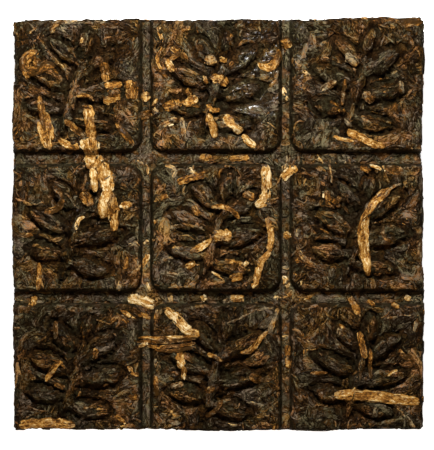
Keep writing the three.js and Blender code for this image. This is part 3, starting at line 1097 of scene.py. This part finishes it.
def leaf_finish(
        name, bright_stops, grey_stops, rough, contrast, curl, mottling, specking, flecking, step, crease_shade,
        lip_highlight, rim, relief, variety, ground_stops=None):
    """Dry leaf: the strip's tone, mottling, fibres, folds and rim pick a colour, and roughen it too.

    Dull strips take their colour from the grey ramp, and so do light details of any strip, as painted sheen.
    The folds' creases carry painted shade and their lips a painted highlight. With ground stops, noise
    tears the strip's margin away and shows the dark ground there.
    """
    finish = Finish(name)
    tone, hue, gloss, margin = [finish.value(value) for value in (*STRIP_VALUES, MARGIN_VALUE)]
    place = finish.place()
    leaf_place = finish.add("ShaderNodeUVMap", {"uv_map": GRAIN_MAP})

    def grain(along, across, **look):
        """Noise with so many waves in a millimetre along the leaf and across it."""
        return finish.noise(finish.stretched(leaf_place, (along, across, 1.0)), **look)

    fibres = grain(along=0.6, across=2.0, detail=3.0, distortion=0.5 * curl)
    fibres = finish.between(fibres, low=0.36, high=0.66)
    wrinkles = grain(along=1.1, across=1.5, detail=4.0, roughness=0.7, distortion=curl)
    wrinkles = finish.between(wrinkles, low=0.34, high=0.68)
    folds = grain(along=0.22, across=0.75, detail=2.0, distortion=0.6)
    curls = grain(along=0.55, across=1.3, detail=1.0, distortion=1.2)
    fold_crease, fold_lip, fold_side = finish.seams(folds)
    curl_crease, curl_lip, curl_side = finish.seams(curls)
    creases = fold_crease + CURL_EDGE * curl_crease
    lit = fold_lip + CURL_EDGE * curl_lip
    sides = (fold_side - 0.5) + CURL_STEP * (curl_side - 0.5)
    mottle = finish.noise(place, scale=380.0, detail=5.0, roughness=0.65)
    mottle = finish.between(mottle, low=0.32, high=0.70)
    streaks = grain(along=0.9, across=1.9, detail=2.0)
    specks = 0.5 * streaks + 0.5 * finish.noise(place, scale=2400.0, detail=2.0)
    specks = finish.between(specks, low=0.43, high=0.60)
    dull_spots = finish.between(finish.noise(place, scale=300.0, detail=3.0), low=0.34, high=0.66)
    flecks = finish.between(grain(along=1.3, across=2.3, detail=1.0), low=0.57, high=0.68)
    torn = margin + (grain(along=0.22, across=1.6, detail=3.0) - 0.5)
    fine = specking * (specks - 0.5) + FIBRE_TONE * (fibres - 0.5) + WRINKLE_TONE * (wrinkles - 0.5)
    fine = fine + flecking * flecks
    pattern = mottling * (mottle - 0.5) + fine
    # Painted highlight on the folds' lips and painted shade in their creases.
    edges = lip_highlight * lit - crease_shade * creases
    level = tone + contrast * pattern + step * sides + edges
    level = level + rim * finish.between(torn, low=0.55, high=0.85)
    # Light details turn duller as painted sheen.
    dullness = hue - WARMTH + variety * (dull_spots - 0.5) + PAINTED_SHEEN_GREYING * (fine + edges)
    dullness = finish.between(dullness, low=0.0, high=1.0)
    colour = finish.mix(dullness, finish.ramp(level, bright_stops), finish.ramp(level, grey_stops))
    if ground_stops:
        shown = finish.between(TORN_PLACE - torn, low=0.0, high=TORN_BLUR)
        colour = finish.mix(shown, finish.ramp(GROUND_TONE + pattern, ground_stops), colour)
    else:
        colour = finish.with_cast(colour, place)
    roughness = rough + MOTTLE_ROUGHNESS * mottle + SPECK_ROUGHNESS * specks
    height = FIBRE_HEIGHT * fibres + WRINKLE_HEIGHT * wrinkles + SPECK_HEIGHT * specks
    height = height + STEP_HEIGHT * sides - CREASE_DEPTH * creases
    glints = finish.between(finish.noise(place, scale=2000.0, detail=2.0), low=0.47, high=0.62)
    return finish.surface({
        "Base Color": colour, "Roughness": roughness, "Normal": finish.bump(height, relief),
        "Specular IOR Level": LEAF_SPECULAR, "Coat Weight": gloss * glints, "Coat Roughness": COAT_ROUGHNESS})


def ordinary_leaf(name, colours, rough, contrast=1.0):
    """Finish of the dark and brown leaves."""
    return leaf_finish(
        name, ramp_stops(colours, "warm"), ramp_stops(colours, "dull"), rough, contrast, curl=1.0,
        mottling=0.16, specking=0.40, flecking=0.32, step=0.15, crease_shade=0.32, lip_highlight=0.22, rim=-0.22,
        relief=0.22 * MM, variety=0.7)


def golden_leaf(name, colours, rough):
    """Finish of the golden tips and stems, inlaid in dark leaf."""
    return leaf_finish(
        name, ramp_stops(colours, "golden"), ramp_stops(colours, "straw"), rough, contrast=0.9, curl=0.1,
        mottling=0.44, specking=0.24, flecking=0.1, step=0.2, crease_shade=0.16, lip_highlight=0.08, rim=0.0,
        relief=0.12 * MM, variety=0.9, ground_stops=ramp_stops(colours, "warm"))


class TEA_OT_pressed_core(bpy.types.Operator):
    """Pressed mass of fine leaf below the strips, a closed sheet with a wrinkled relief"""

    bl_idname = "tea.pressed_core"
    bl_label = "Pressed Core"

    CELLS = 172
    FINE_STEPS = 4000
    SIDE_RINGS = 12
    DEPTH = 0.42 * MM
    WALL_MARGIN = 0.15 * MM
    WALL_DENSITY = 5.0
    WALL_RISE = 0.75
    WALL_SMOOTHING = 0.4
    CREVICE_WIDTH = 0.6 * MM
    TOP_REACH = 1.5

    # Seed, wavelength and height of the wrinkles, the last of which are folded up.
    WRINKLES = ((21, 3.2 * MM, 0.10 * MM), (22, 1.7 * MM, 0.10 * MM))
    FOLDED_WRINKLES = (23, 1.1 * MM, 0.08 * MM)

    # How much the finish's patterns change its tone, its dullness and its height.
    # The darkening on the grooves' walls and in the crevices round the sprig is painted shade.
    BASE_TONE = 0.03
    WISP_TONE = 0.32
    GRAIN_TONE = 0.32
    FLOOR_TONE = 0.30
    WALL_PAINTED_SHADE = 0.04
    CREVICE_PAINTED_SHADE = 0.24
    WALL_DULLING = 0.4
    GRAIN_DULLING = 0.5
    WISP_HEIGHT = 0.7
    GRAIN_HEIGHT = 0.4
    FINISH_RELIEF = 0.35 * MM
    SMOOTHEST = 0.55
    GRAIN_ROUGHNESS = 0.3

    def execute(self, context):
        settings = context.scene.tea_brick
        mould = Mould(settings.sizes)
        vertices, corners, sizes = self.shell(mould)
        piece = put_mesh("pressed_core", vertices, corners, sizes)
        on_top = vertices[:, 2] > mould.face - self.TOP_REACH * mould.groove_depth
        put_values(piece, "groove_share", mould.pressed(vertices[:, 0], vertices[:, 1]) * on_top)
        # Painted shade in the crevices round each sprig, fading with the distance from its outline.
        off_sprig = mould.sprig(vertices[:, 0], vertices[:, 1])[1]
        put_values(piece, "crevice_share", np.exp(-(off_sprig / self.CREVICE_WIDTH) ** 2) * on_top)
        dress(piece, self.core_finish(settings.colours))
        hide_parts(CAD_NODE)
        return {"FINISHED"}

    def relief(self, mould, u, v, under):
        """Depth below the mould plus fine wrinkles from three wave fields, flatter on a tablet's shoulder."""
        wrinkles = sum(patches(u, v, *wrinkle) for wrinkle in self.WRINKLES)
        wrinkles = wrinkles + np.abs(patches(u, v, *self.FOLDED_WRINKLES))
        wall = mould.pressed(u, v)
        wall = wall * (wall < 1) * (not under)
        return wrinkles * (1 - self.WALL_SMOOTHING * wall) - self.DEPTH * (1 - self.WALL_RISE * wall)

    def grid_lines(self, mould, middles, floor):
        """Places of the grid's lines across the brick, closer together at the grooves' walls."""
        fine = np.linspace(-mould.half, mould.half, self.FINE_STEPS)
        aside = np.abs(fine[:, None] - middles).min(axis=1) - floor / 2
        on_wall = (aside > -self.WALL_MARGIN) & (aside < mould.wall_run + self.WALL_MARGIN)
        density = np.cumsum(np.where(on_wall, self.WALL_DENSITY, 1.0))
        density = (density - density[0]) / (density[-1] - density[0])
        return np.interp(np.linspace(0, 1, self.CELLS + 1), density, fine)

    def shell(self, mould):
        """Top grid, rings down the sides and bottom grid, which share the vertices of their borders."""
        lines = [
            self.grid_lines(mould, middles, floor)
            for middles, floor in zip(mould.groove_middles, mould.groove_floor)]
        u, v = np.meshgrid(*lines, indexing="ij")
        index = np.arange(u.size).reshape(u.shape)
        top = mould.lay(u, v, self.relief(mould, u, v, False))
        border = np.concatenate([index[:-1, 0], index[-1, :-1], index[:0:-1, -1], index[0, :0:-1]])
        edge_u, edge_v = u.ravel()[border], v.ravel()[border]
        flat = mould.half - mould.edge_round
        away_u = edge_u - np.clip(edge_u, -flat, flat)
        away_v = edge_v - np.clip(edge_v, -flat, flat)
        away = np.hypot(away_u, away_v)
        reach = mould.face - 2 * mould.edge_round + mould.edge_round * math.pi
        shares = np.linspace(0, 1, self.SIDE_RINGS + 1)[1:, None]
        run = (reach - away) * shares
        ring_u = edge_u + away_u / away * run
        ring_v = edge_v + away_v / away * run
        rings = mould.lay(ring_u, ring_v, self.relief(mould, ring_u, ring_v, False))
        base = mould.lay(-u, v, self.relief(mould, u, v, True), True)
        ring_index = u.size + np.arange(ring_u.size).reshape(ring_u.shape)
        base_index = (u.size + ring_u.size + index).ravel()
        base_index[border] = ring_index[-1]
        loops = np.concatenate([border[None], ring_index])
        corners = np.concatenate([
            self.quads(index),
            self.quads(base_index.reshape(u.shape))[:, ::-1],
            self.quads(np.concatenate([loops, loops[:, :1]], axis=1)),
        ])
        vertices = np.concatenate([top.reshape(-1, 3), rings.reshape(-1, 3), base.reshape(-1, 3)])
        used, corners = np.unique(corners.ravel(), return_inverse=True)
        return vertices[used], corners, np.full(len(corners) // 4, 4)

    @staticmethod
    def quads(index):
        """Faces between the rows and columns of a grid of vertex numbers."""
        corners = [index[:-1, :-1], index[1:, :-1], index[1:, 1:], index[:-1, 1:]]
        return np.stack(corners, axis=-1).reshape(-1, 4)

    def core_finish(self, colours):
        """Fine pressed leaf: twisted noise makes its wisps, dark with brown and tan specks."""
        finish = Finish("pressed_leaf_core")
        place = finish.place()
        wisps = finish.noise(place, scale=420.0, detail=5.0, roughness=0.65, distortion=2.2)
        wisps = finish.between(wisps, low=0.34, high=0.68)
        grain = finish.noise(place, scale=1500.0, detail=3.0, distortion=1.0)
        grain = finish.between(grain, low=0.36, high=0.66)
        dull_spots = finish.between(finish.noise(place, scale=130.0, detail=3.0), low=0.35, high=0.65)
        pressed = finish.value("groove_share")
        floor = finish.between(pressed, low=0.94, high=1.0)
        wall = finish.between(pressed, low=0.0, high=0.3) * (1 - floor)
        level = self.BASE_TONE + self.WISP_TONE * wisps + self.GRAIN_TONE * grain + self.FLOOR_TONE * floor
        # Painted shade on the grooves' walls and in the crevices round the sprig.
        level = level - self.WALL_PAINTED_SHADE * wall - self.CREVICE_PAINTED_SHADE * finish.value("crevice_share")
        dullness = dull_spots + self.WALL_DULLING * wall + self.GRAIN_DULLING * (grain - 0.5)
        warm, dull = [finish.ramp(level, ramp_stops(colours, ramp)) for ramp in ("warm", "dull")]
        colour = finish.mix(dullness, warm, dull)
        height = self.WISP_HEIGHT * wisps + self.GRAIN_HEIGHT * grain
        return finish.surface({
            "Base Color": finish.with_cast(colour, place),
            "Roughness": self.SMOOTHEST + self.GRAIN_ROUGHNESS * grain,
            "Normal": finish.bump(height, self.FINISH_RELIEF), "Specular IOR Level": LEAF_SPECULAR})


class ScatteredLeaves:
    """Shared by the operators of scattered leaves.

    Lengths, widths, thicknesses and crowns are the least and the most in mm, and bluntness is a power's
    least and most. Tones and hues are the two shape numbers of a beta draw.
    """

    SHARES = REGION_SHARES
    RINGS = 8
    PROFILE = TOP_HEAVY_PROFILE
    RAGGED = 0.3
    RIDGES = 0.3
    CRUMPLE = 0.14

    def draw_hues(self, rng, count):
        """Each strip's dullness."""
        return rng.beta(*self.HUES, count)

    def lay_leaves(self, settings, name, amount, finish):
        """Draws the strips' lines, sizes and tints, and makes them one piece with its finish."""
        mould = Mould(settings.sizes)
        rng = np.random.default_rng(self.SEED)
        kind = StripKind(self.RINGS, self.PROFILE, self.RAGGED, self.RIDGES, self.CRUMPLE)
        lines, region = scatter(rng, mould, kind, amount, self.SHARES, self.LENGTHS, self.BEND, self.SWING)
        count = len(lines)
        piece = strip_mesh(
            name, mould, kind, rng, lines, region,
            width=rng.uniform(*self.WIDTHS, count) * MM, thick=rng.uniform(*self.THICKNESSES, count) * MM,
            crown=rng.uniform(*self.CROWNS, count) * MM, blunt=rng.uniform(*self.BLUNTNESS, count),
            tone=rng.beta(*self.TONES, count), hue=self.draw_hues(rng, count))
        dress(piece, finish)


class TEA_OT_leaf_flakes(ScatteredLeaves, bpy.types.Operator):
    """Small flakes of leaf that fill the gaps below the others"""

    bl_idname = "tea.leaf_flakes"
    bl_label = "Leaf Flakes"

    SEED = 606
    SHARES = FLAKE_SHARES
    RINGS = 5
    LENGTHS = (2.4, 5.5)
    BEND = 0.8
    SWING = 0.3
    WIDTHS = (1.5, 3.2)
    THICKNESSES = (0.16, 0.26)
    CROWNS = (-0.34, -0.12)
    BLUNTNESS = (2.2, 5)
    TONES = (3.4, 4.1)
    HUES = (1.7, 1.6)

    def execute(self, context):
        settings = context.scene.tea_brick
        finish = ordinary_leaf("flake_leaf", settings.colours, rough=0.45, contrast=0.85)
        self.lay_leaves(settings, "leaf_flakes", settings.amounts.flakes, finish)
        return {"FINISHED"}


class TEA_OT_broad_leaves(ScatteredLeaves, bpy.types.Operator):
    """Broad dark leaves, crumpled and pressed flat"""

    bl_idname = "tea.broad_leaves"
    bl_label = "Broad Leaves"

    SEED = 101
    LENGTHS = (6, 15)
    BEND = 0.7
    SWING = 0.25
    WIDTHS = (1.9, 3.8)
    THICKNESSES = (0.16, 0.28)
    CROWNS = (-0.26, 0.0)
    BLUNTNESS = (2.2, 6)
    TONES = (3.4, 4.1)
    HUES = (1.6, 1.6)

    def execute(self, context):
        settings = context.scene.tea_brick
        finish = ordinary_leaf("dark_leaf", settings.colours, rough=0.42, contrast=0.85)
        self.lay_leaves(settings, "broad_leaves", settings.amounts.broad, finish)
        return {"FINISHED"}


class TEA_OT_narrow_leaves(ScatteredLeaves, bpy.types.Operator):
    """Narrow brown leaves, rolled along their length"""

    bl_idname = "tea.narrow_leaves"
    bl_label = "Narrow Leaves"

    SEED = 202
    SHARES = NARROW_SHARES
    LENGTHS = (4, 11)
    BEND = 1.0
    SWING = 0.35
    WIDTHS = (0.9, 1.9)
    THICKNESSES = (0.16, 0.28)
    CROWNS = (-0.2, 0.04)
    BLUNTNESS = (2.5, 8)
    TONES = (2.6, 2.9)
    HUES = (1.1, 2.2)

    def execute(self, context):
        settings = context.scene.tea_brick
        finish = ordinary_leaf("brown_leaf", settings.colours, rough=0.40)
        self.lay_leaves(settings, "narrow_leaves", settings.amounts.narrow, finish)
        return {"FINISHED"}


class TEA_OT_leaf_shreds(ScatteredLeaves, bpy.types.Operator):
    """Thin shreds and veins between the leaves"""

    bl_idname = "tea.leaf_shreds"
    bl_label = "Leaf Shreds"

    SEED = 303
    RINGS = 7
    PROFILE = THIN_PROFILE
    RIDGES = 0.2
    LENGTHS = (1.8, 5.5)
    BEND = 1.1
    SWING = 0.35
    WIDTHS = (0.3, 0.75)
    THICKNESSES = (0.10, 0.2)
    CROWNS = (-0.14, 0.12)
    BLUNTNESS = (3, 8)
    TONES = (2.3, 2.2)
    HUES = (1.2, 2.0)

    def execute(self, context):
        settings = context.scene.tea_brick
        finish = ordinary_leaf("shred_leaf", settings.colours, rough=0.40)
        self.lay_leaves(settings, "leaf_shreds", settings.amounts.shreds, finish)
        return {"FINISHED"}


class TEA_OT_golden_tips(ScatteredLeaves, bpy.types.Operator):
    """Small golden tips and bits of stem scattered through the brick"""

    bl_idname = "tea.golden_tips"
    bl_label = "Golden Tips"

    SEED = 404
    SHARES = TIP_SHARES
    RIDGES = 0.25
    CRUMPLE = 0.1
    LENGTHS = (1.8, 8)
    BEND = 0.9
    SWING = 0.3
    WIDTHS = (0.5, 1.9)
    THICKNESSES = (0.14, 0.24)
    CROWNS = (-0.22, -0.02)
    BLUNTNESS = (2.5, 8)
    TONES = (1.3, 3.2)
    DULLEST = 0.8

    def draw_hues(self, rng, count):
        """Each tip's dullness, even up to the dullest."""
        return rng.uniform(0, self.DULLEST, count)

    def execute(self, context):
        settings = context.scene.tea_brick
        finish = golden_leaf("golden_tip", settings.colours, rough=0.45)
        self.lay_leaves(settings, "golden_tips", settings.amounts.tips, finish)
        return {"FINISHED"}


class TEA_OT_golden_strips(bpy.types.Operator):
    """Larger golden stems and tips, each laid in its own place on the face"""

    bl_idname = "tea.golden_strips"
    bl_label = "Golden Strips"

    SEED = 505
    RINGS = 26
    RAGGED = 0.12
    RIDGES = 0.2
    CRUMPLE = 0.06
    WIDENING = 1.15
    WOBBLE = 0.04 * MM
    THICKNESS_SHARE = 0.08
    THICKNESSES = (0.12 * MM, 0.2 * MM)
    CROWNS = (0.04, 0.10)
    BLUNTNESS_LOGS = (0.8, 2.4)

    def execute(self, context):
        settings = context.scene.tea_brick
        mould = Mould(settings.sizes)
        rng = np.random.default_rng(self.SEED)
        kind = StripKind(self.RINGS, STEM_PROFILE, self.RAGGED, self.RIDGES, self.CRUMPLE)
        count = len(GOLDEN_STRIPS)
        region = np.full(count, FACE)
        steps = np.linspace(0, 1, LINE_STEPS)
        lines = np.stack([line_through(points, steps) for _, _, *points in GOLDEN_STRIPS])
        lines, _ = trimmed_lines(mould, lines, region, kind.shares)
        lines = lines + self.WOBBLE * rng.normal(0, 1, lines.shape)
        width = np.array([width for _, width, *_ in GOLDEN_STRIPS]) * self.WIDENING * MM
        tone, hue = np.array([TINTS[tint] for tint, *_ in GOLDEN_STRIPS]).T
        piece = strip_mesh(
            "golden_strips", mould, kind, rng, lines, region, width=width,
            thick=np.clip(width * self.THICKNESS_SHARE, *self.THICKNESSES),
            crown=rng.uniform(*self.CROWNS, count) * MM,
            blunt=np.exp(rng.uniform(*self.BLUNTNESS_LOGS, count)), tone=tone, hue=hue, draped=True)
        dress(piece, golden_leaf("golden_stem", settings.colours, rough=0.42))
        return {"FINISHED"}


class TEA_OT_stage(bpy.types.Operator):
    """Plain pale floor, soft studio light and the camera above the brick"""

    bl_idname = "tea.stage"
    bl_label = "Stage"

    FLOOR_HALF = 8.0
    FLOOR_ROUGHNESS = 0.9
    FLOOR_SPECULAR = 0.1
    KEY_PLACE = (0.0, 0.145, 0.2)
    KEY_SIZE = 0.06
    KEY_COLOUR = (1.0, 1.0, 1.0)
    FILL_PLACE = (-0.05, -0.30, 0.20)
    FILL_SIZE = 0.3
    FILL_COLOUR = (1.0, 0.82, 0.62)
    SKY_COLOUR = (1.0, 0.86, 0.68)
    SEEN_DISTANCE = 10.0

    def execute(self, context):
        stage = context.scene.tea_brick.stage
        self.add_floor(stage)
        self.add_light(context.scene, stage)
        self.add_camera(context.scene, stage)
        context.scene.view_settings.view_transform = "Standard"
        return {"FINISHED"}

    def add_floor(self, stage):
        """One flat square at the height of the underside."""
        lines = np.array([-self.FLOOR_HALF, self.FLOOR_HALF])
        x, y = np.meshgrid(lines, lines, indexing="ij")
        vertices = np.stack([x, y, np.zeros_like(x)], axis=-1).reshape(-1, 3)
        floor = put_mesh("floor", vertices, np.array([0, 2, 3, 1]), np.array([4]))
        floor.data.materials.append(Finish("pale_floor").surface({
            "Base Color": opaque(stage.floor_colour), "Roughness": self.FLOOR_ROUGHNESS,
            "Specular IOR Level": self.FLOOR_SPECULAR,
            "Emission Color": opaque(stage.floor_colour), "Emission Strength": stage.floor_glow}))

    @staticmethod
    def add_lamp(scene, name, place, size, energy, colour):
        """A round lamp that faces the brick's middle."""
        light = bpy.data.lights.new(name, "AREA")
        light.shape = "DISK"
        light.size = size
        light.energy = energy
        light.color = colour
        lamp = bpy.data.objects.new(name, light)
        lamp.location = place
        x, y, z = place
        lamp.rotation_euler = (-math.atan2(math.hypot(x, y), z), 0, math.atan2(y, x) - math.pi / 2)
        scene.collection.objects.link(lamp)

    def add_light(self, scene, stage):
        """A soft key light from behind the top edge, a weak fill opposite, and even light from all round."""
        self.add_lamp(scene, "key", self.KEY_PLACE, self.KEY_SIZE, stage.key_energy, self.KEY_COLOUR)
        self.add_lamp(scene, "fill", self.FILL_PLACE, self.FILL_SIZE, stage.fill_energy, self.FILL_COLOUR)
        world = bpy.data.worlds.new("studio")
        world.use_nodes = True
        sky = world.node_tree.nodes["Background"]
        sky.inputs["Color"].default_value = opaque(self.SKY_COLOUR)
        sky.inputs["Strength"].default_value = stage.sky_strength
        scene.world = world

    def add_camera(self, scene, stage):
        """A long lens straight above, at the distance where the frame's height spans what it should."""
        camera = bpy.data.cameras.new("camera")
        camera.sensor_fit = "VERTICAL"
        camera.sensor_height = stage.sensor
        camera.lens = stage.lens
        camera.clip_end = self.SEEN_DISTANCE
        span = IMAGE_HEIGHT_PX / PIXELS_PER_MM * MM
        above = span * stage.lens / stage.sensor
        eye = bpy.data.objects.new("camera", camera)
        offset_x = (IMAGE_WIDTH_PX / 2 - BRICK_MIDDLE_PX[0]) / PIXELS_PER_MM * MM
        offset_y = (BRICK_MIDDLE_PX[1] - IMAGE_HEIGHT_PX / 2) / PIXELS_PER_MM * MM
        eye.location = (offset_x, offset_y, scene.tea_brick.sizes.face_height + above)
        scene.collection.objects.link(eye)
        scene.camera = eye


OPERATORS = (
    TEA_OT_pressed_core,
    TEA_OT_leaf_flakes,
    TEA_OT_broad_leaves,
    TEA_OT_narrow_leaves,
    TEA_OT_leaf_shreds,
    TEA_OT_golden_tips,
    TEA_OT_golden_strips,
    TEA_OT_stage,
)


class TEA_PT_brick(bpy.types.Panel):
    """Lists the steps that build the brick"""

    bl_idname = "TEA_PT_brick"
    bl_label = "Tea Brick"
    bl_space_type = "VIEW_3D"
    bl_region_type = "UI"
    bl_category = "Tea Brick"

    def draw(self, context):
        for operator in OPERATORS:
            self.layout.operator(operator.bl_idname)


CLASSES = (BrickSizes, LeafAmounts, TeaColours, StageSizes, TeaBrickSettings, *OPERATORS, TEA_PT_brick)


def register():
    """Registers the classes and hangs the settings on the scene."""
    for item in CLASSES:
        bpy.utils.register_class(item)
    bpy.types.Scene.tea_brick = bpy.props.PointerProperty(type=TeaBrickSettings)


def unregister():
    """Takes the settings and the classes away again."""
    del bpy.types.Scene.tea_brick
    for item in reversed(CLASSES):
        bpy.utils.unregister_class(item)


def main():
    """Builds the brick and its stage."""
    register()
    bpy.ops.tea.pressed_core()
    bpy.ops.tea.leaf_flakes()
    bpy.ops.tea.broad_leaves()
    bpy.ops.tea.narrow_leaves()
    bpy.ops.tea.leaf_shreds()
    bpy.ops.tea.golden_tips()
    bpy.ops.tea.golden_strips()
    bpy.ops.tea.stage()


if __name__ == "__main__":
    main()
